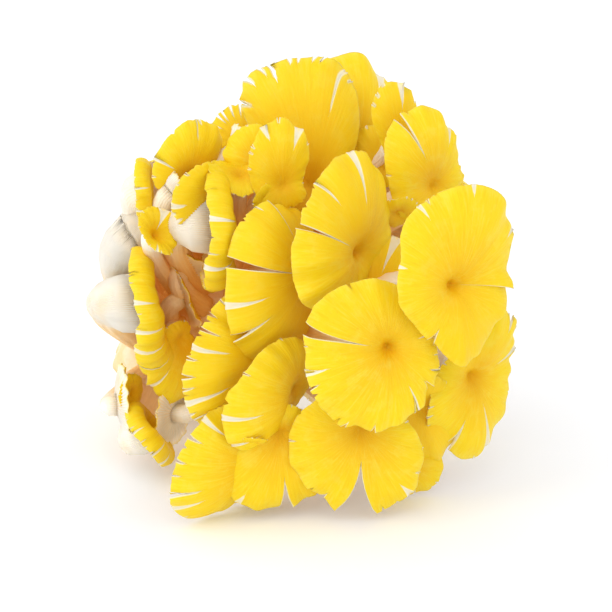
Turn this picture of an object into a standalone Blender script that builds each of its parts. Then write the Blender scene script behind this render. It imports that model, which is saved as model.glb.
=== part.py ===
# A cluster of golden oyster mushrooms, picked whole and lying on a table.
#
# Each mushroom is one solid: a funnel-shaped cap on its own stem, which runs back into the
# fused butt that all of them grew from.  Lengths are in millimetres and angles in degrees
# until a mesh is made.  +Z is up, and the caps that show best face -Y.

import math

import bmesh
import bpy
from mathutils import Matrix, Vector
from mathutils.bvhtree import BVHTree

MM = 0.001

# Driving dimensions
MARGIN_THICKNESS = 1.3      # cap at its rim
HUB_THICKNESS = 4.5         # cap where it meets the stem
GAP = 0.35                  # left between pieces that touch
STEM_FLARE = 1.25           # foot radius over neck radius
STEM_LEAD = 0.42            # how far a stem keeps its cap's direction, over the cap's reach
SHORTEST_LEAD = 9.0
STEM_SHARE = 0.36           # most that a stem's radius takes of its cap's shortest reach
NECK_LENGTH = 1.5           # straight part of a stem below the gills
NECK_PLACE = 0.22           # where the gills meet the stem, over the cap's reach
TOP_PLACES = (0.36, 0.76, 1.0)      # rings of the cap's upper skin, over its reach
UNDER_PLACES = (1.0, 0.62, NECK_PLACE)
STEM_SHARES = (0.25, 0.55, 1.0)     # rings of the stem, over its length
SIDES = ((25.0, 15), (16.0, 12), (0.0, 9))  # sides of a mushroom, by its cap's mean reach
HUB_RING = 0.4              # added to every reach, so that the middle is not a point
FOOT_DEPTH = 0.55           # how far into the butt a stem is aimed, over the butt's radius
FLOOR = 0.0

# The butt: a lumpy trunk from its cut face to the crown, where the stems part
BUTT_CUT = Vector((-56.0, 62.0, 17.0))
BUTT_CROWN = Vector((-26.0, 14.0, 60.0))
BUTT_RADII = (20.0, 24.0, 25.0, 24.0, 21.0, 15.0)
BUTT_SIDES = 18
BUTT_LUMP = 0.08
BUTT_DOME = 8.0
SMOOTH_ANGLE = 50.0

# Colours are linear
GOLD = (0.93, 0.62, 0.02)
CREAM = (0.86, 0.78, 0.60)

# Every mushroom: where its cap's middle is, which way the cap faces (azimuth from -Y towards +X,
# then elevation), its reach from the middle to the rim at equal steps around, anticlockwise from
# the right, and the slope of its profile near the stem, half way and at the rim.
MUSHROOMS = {
    "top_fan": dict(at=(2, 8, 108), face=(2, 25), rim=(15, 15, 17, 24, 34, 45, 48, 48, 45, 30, 18,
                    15, 14, 14, 14, 14, 14, 14, 14, 14, 14, 14, 14, 14), funnel=40, middle=12, margin=-40),
    "top_right_fan": dict(at=(15, 24, 102), face=(25, 20), rim=(17, 31, 45, 52, 34, 18, 14, 14, 14,
                          14, 14, 15), funnel=40, middle=15, margin=-50),
    "top_bud_right": dict(at=(33, 10, 122), face=(15, 12), rim=(6, 8, 14, 24, 18, 9, 6, 6, 6, 6, 6,
                          6), funnel=35, margin=-40),
    "top_bud_low": dict(at=(28, 16, 113), face=(-10, 12), rim=(8, 10, 14, 16, 12, 8, 8, 8),
                        funnel=35, margin=-40),
    "upper_right": dict(at=(44, -2, 111), face=(28, 12), rim=(13, 15, 22, 31, 31, 23, 19, 18, 17,
                        12, 10, 11), funnel=55, middle=5, margin=-50),
    "right_behind": dict(at=(51, 6, 105), face=(40, 20), rim=(8, 11, 13, 12, 10, 8, 8, 8), margin=-50),
    "right_large": dict(at=(48, -38, 87), face=(30, 10), rim=(26, 33, 39, 39, 35, 27, 26, 23, 24,
                        32, 28, 26), funnel=70, middle=6, margin=-38, turn=0.46),
    "centre_large": dict(at=(15, -22, 93), face=(42, 10), rim=(17, 25, 35, 42, 38, 35, 36, 33, 24,
                         16, 14, 14), funnel=70, middle=2, margin=-50, turn=0.5),
    "centre_low_large": dict(at=(27, -44, 67), face=(14, 8), rim=(19, 18, 22, 27, 31, 36, 35, 35,
                             37, 31, 28, 23), funnel=72, middle=5, margin=-34, turn=0.48),
    "left_middle_large": dict(at=(-3, -20, 85), face=(52, 2), rim=(14, 18, 22, 28, 35, 38, 38, 40,
                              42, 38, 24, 16), funnel=48, middle=-8, margin=-60),
    "left_low_fan": dict(at=(-17, -24, 57), face=(54, 0), rim=(16, 18, 22, 26, 30, 34, 41, 39, 34,
                         26, 18, 16), funnel=45, middle=-5, margin=-60),
    "front_left_band": dict(at=(-5, -36, 48), face=(52, -8), rim=(14, 14, 17, 21, 24, 28, 34, 34,
                            25, 15, 13, 12), funnel=45, middle=-8, margin=-60),
    "bottom_left": dict(at=(-19, -36, 22), face=(42, -8), rim=(14, 14, 17, 22, 29, 33, 36, 36, 28,
                        15, 12, 12), funnel=40, middle=-5, margin=-60),
    "bottom_behind": dict(at=(-16, -32, 19), face=(32, -6), rim=(12, 12, 12, 12, 12, 14, 16, 20,
                          22, 19, 15, 12), funnel=40, middle=-5, margin=-60),
    "bottom_middle": dict(at=(-9, -42, 34), face=(5, -5), rim=(12, 12, 12, 12, 12, 14, 19, 25, 31,
                          32, 29, 18), funnel=50, middle=5, margin=-35),
    "bottom_right": dict(at=(19, -42, 36), face=(8, -3), rim=(18, 14, 14, 14, 17, 22, 27, 29, 31,
                         34, 34, 27), funnel=50, middle=5, margin=-36),
    "low_right_small": dict(at=(39, -32, 40), face=(20, -18), rim=(16, 14, 14, 14, 14, 14, 14, 22,
                            29, 30, 28, 21), funnel=45, middle=5, margin=-45),
    "right_low": dict(at=(57, -20, 47), face=(36, -6), rim=(20, 24, 30, 22, 16, 16, 20, 26, 28, 36,
                      30, 22), funnel=64, middle=6, margin=-36),
    "streaked": dict(at=(23, -20, 75), face=(2, 20), rim=(14, 20, 24, 25, 24, 20, 14, 12, 12, 12,
                     12, 12), funnel=40, margin=-30),
    "petal_top": dict(at=(-8, -14, 115), face=(10, 8), rim=(7, 9, 17, 24, 19, 14, 11, 10, 10, 9, 9,
                      9), funnel=35, middle=5, margin=-30),
    "petal_top_left": dict(at=(-15, -4, 119), face=(0, 10), rim=(8, 10, 15, 17, 14, 10, 8, 8), margin=-45),
    "ragged_back": dict(at=(-21, 18, 121), face=(-15, 15), rim=(9, 11, 14, 14, 15, 15, 12, 9, 8, 8,
                        8, 8), margin=-35),
    "upper_left_curl": dict(at=(-42, 2, 113), face=(30, -5), rim=(10, 15, 23, 24, 21, 18, 15, 10,
                            8, 8, 9, 10), funnel=45, middle=15, margin=-60),
    "crescent": dict(at=(-32, -6, 113), face=(50, -10), rim=(8, 8, 9, 9, 12, 17, 23, 21, 13, 8, 8,
                     8), funnel=40, middle=5, margin=-45, stem=3.2),
    "tall_strip": dict(at=(-45, -12, 101), face=(93, -5), rim=(34, 34, 35, 38, 40, 42, 42, 36),
                       funnel=70, middle=48, margin=-60, turn=0.52, stem=3.8),
    "left_upper": dict(at=(-59, 4, 108), face=(88, 4), rim=(15, 15, 16, 17, 18, 18, 17, 15),
                       funnel=42, middle=30, margin=-60, turn=0.45, stem=2.8),
    "left_white": dict(at=(-72, 6, 79), face=(105, 40), rim=(24, 26, 28, 26, 24, 25, 26, 24),
                       funnel=52, middle=75, margin=100, turn=0.5, stem=5.5),
    "curly_small": dict(at=(-54, -14, 96), face=(40, 30), rim=(10, 11, 12, 11, 9, 9, 11, 10),
                        funnel=72, middle=42, margin=-15, stem=2.8, saddle=14, saddle_to=30),
    "left_strip": dict(at=(-71, -4, 69), face=(92, 0), rim=(32, 32, 34, 36, 39, 45, 50, 36),
                       funnel=70, middle=48, margin=-60, turn=0.52, stem=6.5),
    "left_petal": dict(at=(-45, -8, 56), face=(40, -10), rim=(5, 5, 6, 7, 8, 9, 11, 15, 23, 30, 25,
                       11), funnel=35, margin=-50, stem=2.5),
    "upper_left_petal": dict(at=(-50, -6, 108), face=(95, 42), rim=(9, 9, 10, 10, 10, 10, 9, 9),
                             funnel=60, middle=70, margin=75, stem=3.2),
    "tan_inner": dict(at=(-45, 4, 78), face=(150, 40), rim=(14, 14, 14, 13, 13, 13, 13, 14),
                      funnel=50, margin=-30),
    "left_far_low": dict(at=(-69, -2, 27), face=(103, 4), rim=(10, 13, 16, 13, 11, 12, 14, 12),
                         funnel=30, middle=15, margin=0, stem=2.2),
    "left_low_strip": dict(at=(-64, -6, 14), face=(92, 33), rim=(22, 22, 23, 25, 27, 26, 24, 22),
                           funnel=70, middle=48, margin=-60, turn=0.52),
    "tan_low": dict(at=(-47, -2, 24), face=(-120, 5), rim=(14, 14, 14, 14, 14, 14, 14, 14),
                    funnel=50, margin=-30),
    "bud_mid_left": dict(at=(-27, 6, 121), face=(115, 25), rim=(8, 9, 10, 9, 8, 8, 8, 8),
                         funnel=65, middle=50, margin=10),
    "trough_small": dict(at=(-23, -10, 117), face=(8, 60), rim=(12, 9, 8, 9, 12, 9, 9, 9),
                         funnel=35, margin=-15, saddle=35, saddle_to=0),
    "bud_left_of_8": dict(at=(-13, -14, 110), face=(35, -15), rim=(7, 7, 7, 7, 7, 7, 7, 7)),
    "tan_between": dict(at=(32, -10, 104), face=(10, -30), rim=(9, 8, 8, 8, 9, 8, 8, 8)),
    "low_behind": dict(at=(36, -26, 16), face=(22, -10), rim=(14, 12, 12, 12, 14, 15, 17, 17)),
    "tan_inner_low": dict(at=(-45, 2, 67), face=(110, 20), rim=(13, 13, 13, 13, 12, 12, 13, 13),
                          funnel=50, margin=-30),
    "left_low_bud": dict(at=(-64, -2, 32), face=(60, 5), rim=(8,), margin=-50, stem=2.5),
    "tiny_young": dict(at=(-19, -50, 34), face=(0, -60), rim=(6,), margin=-60, stem=3),
    "back_top": dict(at=(4, 34, 120), face=(172, 60), rim=(23, 26, 23, 19, 21, 26, 29, 25)),
    "back_top_left": dict(at=(-40, 36, 106), face=(-140, 48), rim=(24, 21, 18, 20, 24, 23, 20, 23)),
    "back_top_right": dict(at=(42, 26, 108), face=(120, 40), rim=(21, 24, 21, 18, 21, 26, 25, 22)),
    "back_right": dict(at=(52, 14, 76), face=(100, 5), rim=(24, 20, 17, 20, 22, 19, 21, 25)),
    "back_right_low": dict(at=(40, 18, 36), face=(112, -12), rim=(18, 21, 20, 17, 20, 23, 24, 20)),
    "back_middle_right": dict(at=(24, 48, 78), face=(150, 15), rim=(25, 22, 20, 24, 25, 21, 21, 25)),
    "back_middle": dict(at=(-14, 56, 92), face=(188, 25), rim=(20, 24, 22, 19, 20, 23, 20, 18)),
    "back_low": dict(at=(12, 48, 28), face=(150, -20), rim=(21, 18, 19, 22, 20, 18, 22, 24)),
    "back_left": dict(at=(-52, 42, 86), face=(-135, 25), rim=(19, 21, 18, 16, 19, 22, 19, 17)),
    "back_left_low": dict(at=(-68, 38, 60), face=(-120, 5), rim=(14, 15, 14, 13, 15, 14, 13, 15)),
}

DEFAULTS = dict(rim=(28,), funnel=50.0, middle=5.0, margin=-40.0, turn=0.42, saddle=0.0, saddle_to=0.0,
                stem=None)


def clear_scene():
    for item in list(bpy.data.objects):
        bpy.data.objects.remove(item, do_unlink=True)


def make_material(name, colour, roughness):
    material = bpy.data.materials.new(name)
    material.use_nodes = True
    shader = material.node_tree.nodes["Principled BSDF"]
    shader.inputs["Base Color"].default_value = (*colour, 1.0)
    shader.inputs["Roughness"].default_value = roughness
    shader.inputs["Metallic"].default_value = 0.0
    material.diffuse_color = (*colour, 1.0)
    return material


def facing_axes(face):
    """Right, up and outward directions of a cap that faces (azimuth, elevation)."""
    azimuth, elevation = (math.radians(angle) for angle in face)
    out = Vector((math.sin(azimuth) * math.cos(elevation),
                  -math.cos(azimuth) * math.cos(elevation),
                  math.sin(elevation)))
    up = (Vector((0, 0, 1)) - out.z * out).normalized()
    return up.cross(out), up, out


def smooth_step(value):
    value = min(max(value, 0.0), 1.0)
    return value * value * (3.0 - 2.0 * value)


def read_around(values, angle):
    """A smooth closed curve through equally spaced values, read at an angle in radians."""
    count = len(values)
    place = (angle / math.tau % 1.0) * count
    low = int(place) % count
    mix = smooth_step(place - int(place))
    return values[low] * (1.0 - mix) + values[(low + 1) % count] * mix


def mean_reach(cap):
    return sum(cap["rim"]) / len(cap["rim"])


def profile_slope(cap, place, angle):
    """Slope of the cap in degrees, place 0 at the middle and 1 at the rim."""
    if place < cap["turn"]:
        slope = cap["funnel"] + (cap["middle"] - cap["funnel"]) * smooth_step(place / cap["turn"])
    else:
        roll = ((place - cap["turn"]) / (1.0 - cap["turn"])) ** 1.6
        slope = cap["middle"] + (cap["margin"] - cap["middle"]) * roll
    return slope + cap["saddle"] * math.cos(2.0 * (angle - math.radians(cap["saddle_to"]))) * place


def profile_point(cap, place, angle, steps=16):
    """Distance from the axis, height along it, and slope in radians, at a place on the cap."""
    reach = read_around(cap["rim"], angle)
    width, height = 0.0, 0.0
    step = place / steps
    for index in range(steps):
        slope = math.radians(profile_slope(cap, (index + 0.5) * step, angle))
        width += math.cos(slope) * reach * step
        height += math.sin(slope) * reach * step
    return width, height, math.radians(profile_slope(cap, place, angle))


def butt_axis_point(share):
    return BUTT_CUT.lerp(BUTT_CROWN, share)


def stem_foot(neck, out):
    """Where a stem enters the butt, and the way it leads from there: the straightest way is best."""
    choices = []
    for step in range(9):
        centre = butt_axis_point(0.2 + 0.09 * step)
        away = (neck - 12.0 * out - centre).normalized()
        foot = centre + away * BUTT_RADII[2] * FOOT_DEPTH
        way = foot - neck
        choices.append((way.normalized().dot(-out) - way.length / 150.0, foot, away))
    best = max(choices, key=lambda choice: choice[0])
    return best[1], best[2]


def bezier_point(points, share):
    rest = 1.0 - share
    return (points[0] * rest ** 3 + points[1] * 3.0 * rest ** 2 * share
            + points[2] * 3.0 * rest * share ** 2 + points[3] * share ** 3)


def mesh_object(name, vertices, faces, material):
    mesh = bpy.data.meshes.new(name)
    mesh.from_pydata([tuple(vertex * MM) for vertex in vertices], [], faces)
    mesh.update()
    item = bpy.data.objects.new(name, mesh)
    bpy.context.scene.collection.objects.link(item)
    if material:
        mesh.materials.append(material)
    return item


def make_mushroom(name, cap, material, swell=0.0):
    """One mushroom as a closed solid, its skin moved outwards by swell."""
    right, up, out = facing_axes(cap["face"])
    hub = Vector(cap["at"])
    reach = mean_reach(cap)
    sides = next(count for least, count in SIDES if reach > least)
    bare_stem = min(cap["stem"] or 2.2 + 0.09 * reach, STEM_SHARE * min(cap["rim"]))
    stem_radius = bare_stem + swell
    vertices, faces = [], []

    def add_ring(points):
        first = len(vertices)
        vertices.extend(points)
        return [first + index for index in range(sides)]

    def bridge(upper, lower):
        for index in range(sides):
            after = (index + 1) % sides
            faces.append((upper[index], lower[index], lower[after]))
            faces.append((upper[index], lower[after], upper[after]))

    def cap_ring(place, under):
        points = []
        for index in range(sides):
            angle = math.tau * index / sides
            width, height, slope = profile_point(cap, place, angle)
            radial = math.cos(angle) * right + math.sin(angle) * up
            normal = -math.sin(slope) * radial + math.cos(slope) * out
            along = math.cos(slope) * radial + math.sin(slope) * out
            depth = MARGIN_THICKNESS + (HUB_THICKNESS - MARGIN_THICKNESS) * (1.0 - place) ** 0.7
            if place == NECK_PLACE:
                wide = max(width + HUB_RING + math.sin(slope) * depth, 1.1 * bare_stem)
                low = height - math.cos(slope) * depth
                points.append(hub + radial * (wide + swell) + out * (low - swell))
                continue
            offset = -normal * (depth + swell) if under else normal * swell
            if place == 1.0:
                offset = offset + along * swell
            points.append(hub + radial * (width + HUB_RING) + out * height + offset)
        return add_ring(points)

    top = [cap_ring(place, False) for place in TOP_PLACES]
    under = [cap_ring(place, True) for place in UNDER_PLACES]
    middle = len(vertices)
    vertices.append(hub + out * swell)
    for index in range(sides):
        faces.append((middle, top[0][index], top[0][(index + 1) % sides]))
    rings = top + under

    # The stem leaves the gills along the cap's axis and bends into the butt.
    neck_points = [vertices[index] for index in under[-1]]
    neck_height = min((point - hub).dot(out) for point in neck_points) + swell
    neck = hub + out * (neck_height - NECK_LENGTH)
    foot, away = stem_foot(neck, out)
    span = (foot - neck).length
    lead = min(0.45 * span, max(STEM_LEAD * reach, SHORTEST_LEAD))
    path = (neck, neck - out * lead, foot + away * span * 0.3, foot)
    spokes = [point - neck - (point - neck).dot(out) * out for point in neck_points]
    spokes = [spoke.normalized() for spoke in spokes]
    heading, before = out.copy(), neck
    for share in STEM_SHARES:
        place = bezier_point(path, share)
        turn = heading.rotation_difference((before - place).normalized())
        spokes = [turn @ spoke for spoke in spokes]
        heading, before = (before - place).normalized(), place
        radius = stem_radius * (1.0 + (STEM_FLARE - 1.0) * share)
        rings.append(add_ring([place + spoke * radius for spoke in spokes]))
    for upper, lower in zip(rings, rings[1:]):
        bridge(upper, lower)
    end = len(vertices)
    vertices.append(before - heading * swell)
    for index in range(sides):
        faces.append((end, rings[-1][(index + 1) % sides], rings[-1][index]))
    return mesh_object(name, vertices, faces, material)


def make_butt(name, material, swell=0.0):
    """The fused stems: a lumpy trunk with a flat cut end."""
    axis = (BUTT_CROWN - BUTT_CUT).normalized()
    right = axis.cross(Vector((0, 0, 1))).normalized()
    up = right.cross(axis)
    vertices, faces = [], []
    last = len(BUTT_RADII) - 1
    for row, radius in enumerate(BUTT_RADII):
        centre = butt_axis_point(row / last)
        if row == 0:
            centre = centre - axis * swell
        for side in range(BUTT_SIDES):
            angle = math.tau * side / BUTT_SIDES
            lump = 1.0 + BUTT_LUMP * math.sin(5.0 * angle + row) * math.cos(2.0 * angle - 1.3 * row)
            spoke = math.cos(angle) * right + math.sin(angle) * up
            vertices.append(centre + spoke * (radius * lump + swell))
    for row in range(last):
        for side in range(BUTT_SIDES):
            after = (side + 1) % BUTT_SIDES
            low, high = row * BUTT_SIDES, (row + 1) * BUTT_SIDES
            faces.append((low + side, high + side, high + after))
            faces.append((low + side, high + after, low + after))
    faces.append([side for side in range(BUTT_SIDES)])
    end = len(vertices)
    vertices.append(BUTT_CROWN + axis * (BUTT_DOME + swell))
    for side in range(BUTT_SIDES):
        high = last * BUTT_SIDES
        faces.append((high + side, end, high + (side + 1) % BUTT_SIDES))
    return mesh_object(name, vertices, faces, material)


def make_floor_cutter():
    bpy.ops.mesh.primitive_cube_add(size=1.0, location=(0, 0, (FLOOR - 50.0) * MM))
    cutter = bpy.context.object
    cutter.name = "floor_cutter"
    cutter.scale = (0.5, 0.5, 100.0 * MM)
    return cutter


def largest_island(mesh):
    """Keep the biggest connected part of a mesh, and drop crumbs that a cut left."""
    work = bmesh.new()
    work.from_mesh(mesh)
    work.verts.ensure_lookup_table()
    seen, islands = set(), []
    for start in work.verts:
        if start in seen:
            continue
        island, queue = [], [start]
        seen.add(start)
        while queue:
            vertex = queue.pop()
            island.append(vertex)
            for edge in vertex.link_edges:
                other = edge.other_vert(vertex)
                if other not in seen:
                    seen.add(other)
                    queue.append(other)
        islands.append(island)

    def island_size(island):
        faces = {face for vertex in island for face in vertex.link_faces}
        return sum(face.calc_area() for face in faces)

    islands.sort(key=island_size, reverse=True)
    for island in islands[1:]:
        bmesh.ops.delete(work, geom=island, context="VERTS")
    work.to_mesh(mesh)
    work.free()


def skin_tree(item):
    points = [item.matrix_world @ vertex.co for vertex in item.data.vertices]
    return BVHTree.FromPolygons(points, [face.vertices[:] for face in item.data.polygons])


def cut_away(item, cutters):
    """Subtract the cutters from an object, and keep the part that matters."""
    group = bpy.data.collections.new(f"cutters_of_{item.name}")
    for cutter in cutters:
        group.objects.link(cutter)
    modifier = item.modifiers.new("clear_neighbours", "BOOLEAN")
    modifier.operation = "DIFFERENCE"
    modifier.solver = "EXACT"
    modifier.operand_type = "COLLECTION"
    modifier.collection = group
    bpy.context.view_layer.update()
    graph = bpy.context.evaluated_depsgraph_get()
    mesh = bpy.data.meshes.new_from_object(item.evaluated_get(graph))
    item.modifiers.clear()
    item.data = mesh
    bpy.data.collections.remove(group)
    largest_island(mesh)


def bounds_of(item):
    points = [item.matrix_world @ vertex.co for vertex in item.data.vertices]
    low = Vector([min(point[axis] for point in points) for axis in range(3)])
    high = Vector([max(point[axis] for point in points) for axis in range(3)])
    return low, high


def set_on_origin(pieces):
    """Bring the middle of the cluster's underside to the origin."""
    corners = [corner for piece in pieces for corner in bounds_of(piece)]
    low = [min(corner[axis] for corner in corners) for axis in range(3)]
    high = [max(corner[axis] for corner in corners) for axis in range(3)]
    shift = Vector((-(low[0] + high[0]) / 2, -(low[1] + high[1]) / 2, -low[2]))
    for piece in pieces:
        piece.data.transform(Matrix.Translation(shift))


def shade(item):
    item.data.shade_smooth()
    item.data.set_sharp_from_angle(angle=math.radians(SMOOTH_ANGLE))


def build():
    clear_scene()
    flesh = make_material("cream_flesh", CREAM, 0.6)
    floor_cutter = make_floor_cutter()
    bpy.context.view_layer.update()
    butt = make_butt("stem_base", flesh)
    cut_away(butt, [floor_cutter])
    # Each finished piece is kept with a cutter of its shape, which is GAP larger.
    finished = [(butt, make_butt("butt_cutter", None, GAP))]
    # The outermost mushrooms keep their shape, and those below them make room.
    caps = {name: {**DEFAULTS, **cap} for name, cap in MUSHROOMS.items()}
    order = sorted(caps, key=lambda name: -(Vector(caps[name]["at"]) - BUTT_CROWN).length)
    for name in order:
        cap = caps[name]
        skin = make_material(f"gold_{name}", GOLD, 0.5)
        piece = make_mushroom(f"mushroom_{name}", cap, skin)
        bpy.context.view_layer.update()
        tree = skin_tree(piece)
        near = [cutter for _, cutter in finished if tree.overlap(skin_tree(cutter))]
        if bounds_of(piece)[0].z < FLOOR * MM:
            near.append(floor_cutter)
        if near:
            cut_away(piece, near)
        for other, cutter in finished:
            if skin_tree(piece).overlap(skin_tree(other)):
                cut_away(piece, [cutter])
        finished.append((piece, make_mushroom(f"cutter_{name}", cap, None, GAP)))
        bpy.context.view_layer.update()
    for _, cutter in finished:
        bpy.data.objects.remove(cutter, do_unlink=True)
    bpy.data.objects.remove(floor_cutter, do_unlink=True)
    pieces = [piece for piece, _ in finished]
    set_on_origin(pieces)
    for piece in pieces:
        shade(piece)


build()
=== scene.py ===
import math
import random
import bpy
import numpy as np
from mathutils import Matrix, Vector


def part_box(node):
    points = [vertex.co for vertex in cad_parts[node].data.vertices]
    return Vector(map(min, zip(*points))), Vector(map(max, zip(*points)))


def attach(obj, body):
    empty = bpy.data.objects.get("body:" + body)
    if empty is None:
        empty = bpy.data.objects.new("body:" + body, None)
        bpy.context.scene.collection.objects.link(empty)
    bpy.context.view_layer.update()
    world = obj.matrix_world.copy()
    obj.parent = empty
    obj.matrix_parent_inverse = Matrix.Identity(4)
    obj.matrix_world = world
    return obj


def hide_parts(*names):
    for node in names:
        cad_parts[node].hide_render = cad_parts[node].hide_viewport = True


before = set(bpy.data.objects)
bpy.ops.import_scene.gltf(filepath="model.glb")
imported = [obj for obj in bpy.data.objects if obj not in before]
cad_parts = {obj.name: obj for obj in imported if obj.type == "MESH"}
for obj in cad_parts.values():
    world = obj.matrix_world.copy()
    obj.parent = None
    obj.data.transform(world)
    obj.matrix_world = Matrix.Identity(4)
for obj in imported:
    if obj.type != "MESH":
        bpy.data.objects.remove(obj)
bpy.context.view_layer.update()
mm = 0.001
rootBody = "root"

# Places in this file are mm in the cluster's own plan, where the butt's box has its middle here.
plan = dict(buttMiddle=(-43.776, 39.839))
lowest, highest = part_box("stem_base")
shift = np.array([(lowest[i] + highest[i]) / 2 - plan["buttMiddle"][i] * mm for i in (0, 1)] + [0.0])


def placed(point):  # from the plan to the frame's metres
    return np.asarray(point, float) * mm + shift


camera = dict(target=(0, 0, 65), tilt=20.0, distance=850.0, halfWidth=110.16, sensor=36.0, farthest=60000.0)


def addCamera():
    data = bpy.data.cameras.new("camera")
    data.sensor_width = camera["sensor"]
    data.lens = camera["sensor"] / 2 * camera["distance"] / camera["halfWidth"]
    data.clip_end = camera["farthest"] * mm
    item = bpy.data.objects.new("camera", data)
    bpy.context.scene.collection.objects.link(item)
    tilt = math.radians(camera["tilt"])
    back = np.array([0.0, -math.cos(tilt), math.sin(tilt)])
    item.location = placed(np.array(camera["target"]) + back * camera["distance"])
    item.rotation_euler = (math.pi / 2 - tilt, 0.0, 0.0)
    bpy.context.scene.camera = item


addCamera()
print("camera placed")


class Wire:  # a node's output that takes part in sums
    def __init__(self, finish, socket):
        self.finish, self.socket = finish, socket

    def sum(self, operation, *values):
        names = [str(i) for i in range(len(values))]
        return self.finish.add("ShaderNodeMath", dict(operation=operation), dict(zip(names, values)))

    def __add__(self, other): return self.sum("ADD", self, other)
    def __radd__(self, other): return self.sum("ADD", other, self)
    def __sub__(self, other): return self.sum("SUBTRACT", self, other)
    def __rsub__(self, other): return self.sum("SUBTRACT", other, self)
    def __mul__(self, other): return self.sum("MULTIPLY", self, other)
    def __rmul__(self, other): return self.sum("MULTIPLY", other, self)


class Finish:  # one material and its nodes
    def __init__(self, name, **fixed):
        self.material = bpy.data.materials.new(name)
        self.material.use_nodes = True
        self.tree = self.material.node_tree
        self.shader = self.tree.nodes["Principled BSDF"]
        for socket, value in fixed.items():
            self.shader.inputs[socket.replace("_", " ")].default_value = value

    def add(self, kind, settings=None, values=None, output=0):
        node = self.tree.nodes.new(kind)
        for name, value in (settings or {}).items():
            setattr(node, name, value)
        for name, value in (values or {}).items():
            self.feed(node.inputs[int(name) if name.isdigit() else name], value)
        return Wire(self, node.outputs[output])

    def feed(self, socket, value):
        if isinstance(value, Wire):
            self.tree.links.new(value.socket, socket)
        elif isinstance(value, (tuple, list)) and len(value) == 3 and len(socket.default_value) == 4:
            socket.default_value = (*value, 1.0)
        else:
            socket.default_value = value

    def number(self, name):  # a number that the mesh carries
        return self.add("ShaderNodeAttribute", dict(attribute_name=name), output=2)

    def vector(self, name):  # a vector that the mesh carries
        return self.add("ShaderNodeAttribute", dict(attribute_name=name), output=1)

    def grain(self, vector, scale, detail=3.0, rough=0.55, stretch=None):
        if stretch:
            values = {"0": vector, "1": stretch}
            vector = self.add("ShaderNodeVectorMath", dict(operation="MULTIPLY"), values)
        values = dict(Vector=vector, Scale=scale, Detail=detail, Roughness=rough)
        return self.add("ShaderNodeTexNoise", None, values)

    def ramp(self, value, low, high):  # smooth 0 to 1 between low and high
        settings = dict(interpolation_type="SMOOTHSTEP")
        return self.add("ShaderNodeMapRange", settings, {"Value": value, "From Min": low, "From Max": high})

    def blend(self, share, first, second):
        settings = dict(data_type="RGBA", blend_type="MIX")
        return self.add("ShaderNodeMix", settings, {"0": share, "6": first, "7": second}, output=2)

    def layer(self, under, over, value, band):  # the band says where a colour starts, is full, and its share
        low, high, share = band
        return self.blend(self.ramp(value, low, high) * share, under, over)

    def bump(self, height, strength, depth):
        return self.add("ShaderNodeBump", None, dict(Height=height, Strength=strength, Distance=depth))

    def wear(self, **links):
        for socket, value in links.items():
            self.feed(self.shader.inputs[socket.replace("_", " ")], value)
        return self.material


capLook = dict(
    deep=(0.89, 0.48, 0.0), full=(0.93, 0.58, 0.004), bright=(0.95, 0.67, 0.005),
    pale=(0.95, 0.76, 0.09), edge=(0.94, 0.86, 0.58), bruise=(0.80, 0.38, 0.01), heartShade=(0.80, 0.38, 0.0),
    roughness=0.50, subsurface=0.12, glow=(1.0, 0.55, 0.08), glowDepth=0.004,
    threads=dict(scale=1.7, detail=5.0, rough=0.62, stretch=(9.0, 9.0, 2.6)),
    bands=dict(scale=1.2, detail=2.0, stretch=(2.6, 2.6, 1.0)),
    clouds=dict(scale=42.0), specks=dict(scale=900.0, detail=2.0), tint=dict(scale=0.13, detail=1.0),
    mottle=dict(scale=170.0, detail=4.0, rough=0.65),
    outer=(0.04, 0.5, 1.0), outerMost=(0.35, 0.8, 1.0), bandSway=0.3,
    paleThreads=(0.48, 0.72, 0.40), deepThreads=(0.50, 0.76, 0.42), paleMottle=(0.5, 0.68, 0.28),
    cloudy=(0.5, 0.75, 0.3), golden=(0.42, 0.62, 0.45), heartShadeInset=0.006, heartShadeShare=0.6,
    paleMargin=(0.90, 1.02, 0.30), marginSway=0.2, rim=(0.996, 1.004, 0.35), rimSway=0.03,
    torn=(0.45, 0.95, 1.0), speckled=(0.66, 0.8, 0.25),
    relief=dict(threads=0.6, specks=0.15, clouds=0.5, mottle=0.25), roughSway=0.16,
    bump=dict(strength=0.5, depth=0.0007),
)
fleshLook = dict(
    light=(0.89, 0.82, 0.62), dark=(0.90, 0.68, 0.26), roughness=0.62,
    threads=dict(scale=1.5, stretch=(14.0, 14.0, 2.0)), clouds=dict(scale=160.0), cloudy=(0.45, 0.75, 0.45),
    bump=dict(strength=0.35, depth=0.0005),
)
gillLook = dict(
    light=(0.98, 0.93, 0.83), warm=(0.96, 0.76, 0.44), tan=(0.95, 0.62, 0.20), rim=(0.95, 0.78, 0.22),
    roughness=0.6, threads=dict(scale=1.8, detail=2.0, stretch=(16.0, 16.0, 1.0)), clouds=dict(scale=60.0),
    cloudy=(0.4, 0.75, 0.5), rimBand=(0.9, 1.0, 0.6), valleyShadeShare=0.4, heartShadeWeight=0.65,
    bump=dict(strength=0.3, depth=0.0004),
)
stemLook = dict(
    light=(0.98, 0.93, 0.83), warm=(0.95, 0.78, 0.48), root=(0.94, 0.56, 0.14), roughness=0.6,
    threads=dict(scale=2.0, detail=4.0, stretch=(7.0, 7.0, 0.6)), clouds=dict(scale=70.0, detail=4.0),
    cloudy=(0.38, 0.72, 0.65), rooted=(0.12, 0.62, 0.85), rootSway=0.4, heartShadeWeight=0.6,
    warmThreads=(0.55, 0.8, 0.3), cloudRelief=0.6, bump=dict(strength=0.45, depth=0.0008),
)
softness = dict(subsurface=0.1, glow=(1.0, 0.72, 0.38), glowDepth=0.003, bend=1.4, gloss=0.35)
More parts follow.
